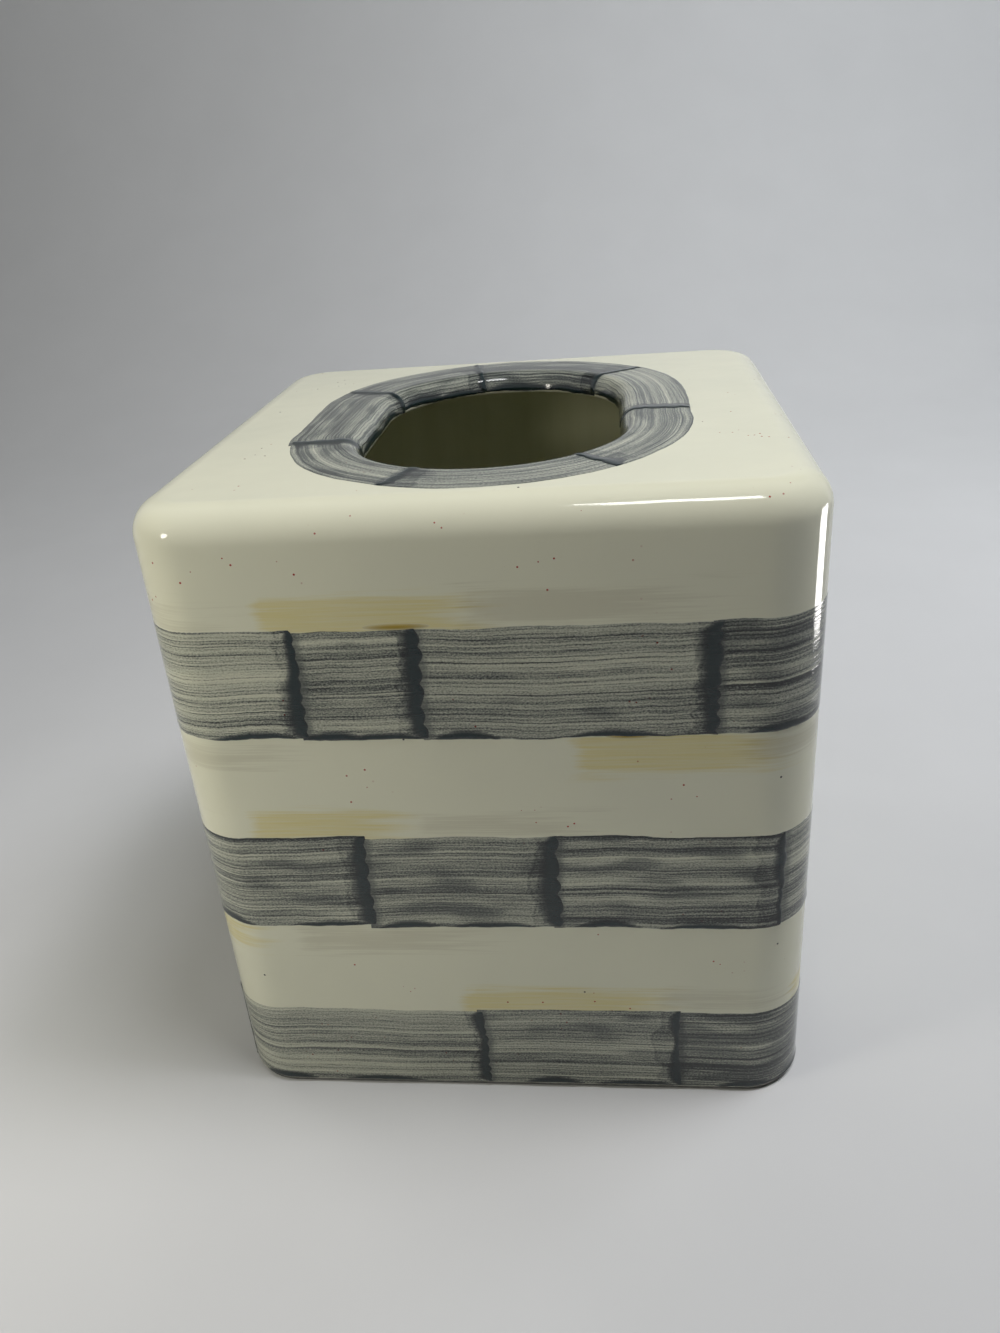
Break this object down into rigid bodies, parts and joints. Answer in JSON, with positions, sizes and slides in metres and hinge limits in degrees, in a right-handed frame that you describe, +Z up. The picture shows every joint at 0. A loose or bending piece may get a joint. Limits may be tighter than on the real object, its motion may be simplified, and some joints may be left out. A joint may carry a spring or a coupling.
{
  "type": "tissue box cover",
  "caption": "Lift-off enamelled steel cover for a cube tissue carton, with rounded corners, painted bands and an oblong lipped opening in the top.",
  "frame": {"origin": "centre of the cover's footprint, on the surface that it stands on", "axes": "+X to the right and +Y to the back as seen from the front, +Z up; the opening's long axis runs along Y and the wall's upright weld is on the +Y side"},
  "size_m": [0.1334, 0.1334, 0.1443],
  "materials": {
    "sheet_steel": "bare low-carbon sheet, cut and deburred",
    "weld_metal": "butt weld, ground flush",
    "cream_enamel": "glossy vitreous enamel fired on steel",
    "inside_enamel": "glossy vitreous enamel fired on steel",
    "grey_glaze": "brushed translucent grey glaze, glossy, pooled dark at its edges"
  },
  "bodies": {
    "root": {"side_wall": "sheet_steel", "top_panel": "sheet_steel", "wall_weld": "weld_metal", "panel_weld": "weld_metal", "outer_enamel": "cream_enamel", "inner_enamel": "inside_enamel", "lower_band": "grey_glaze", "middle_band": "grey_glaze", "upper_band": "grey_glaze", "opening_band": "grey_glaze"}
  },
  "joints": []
}
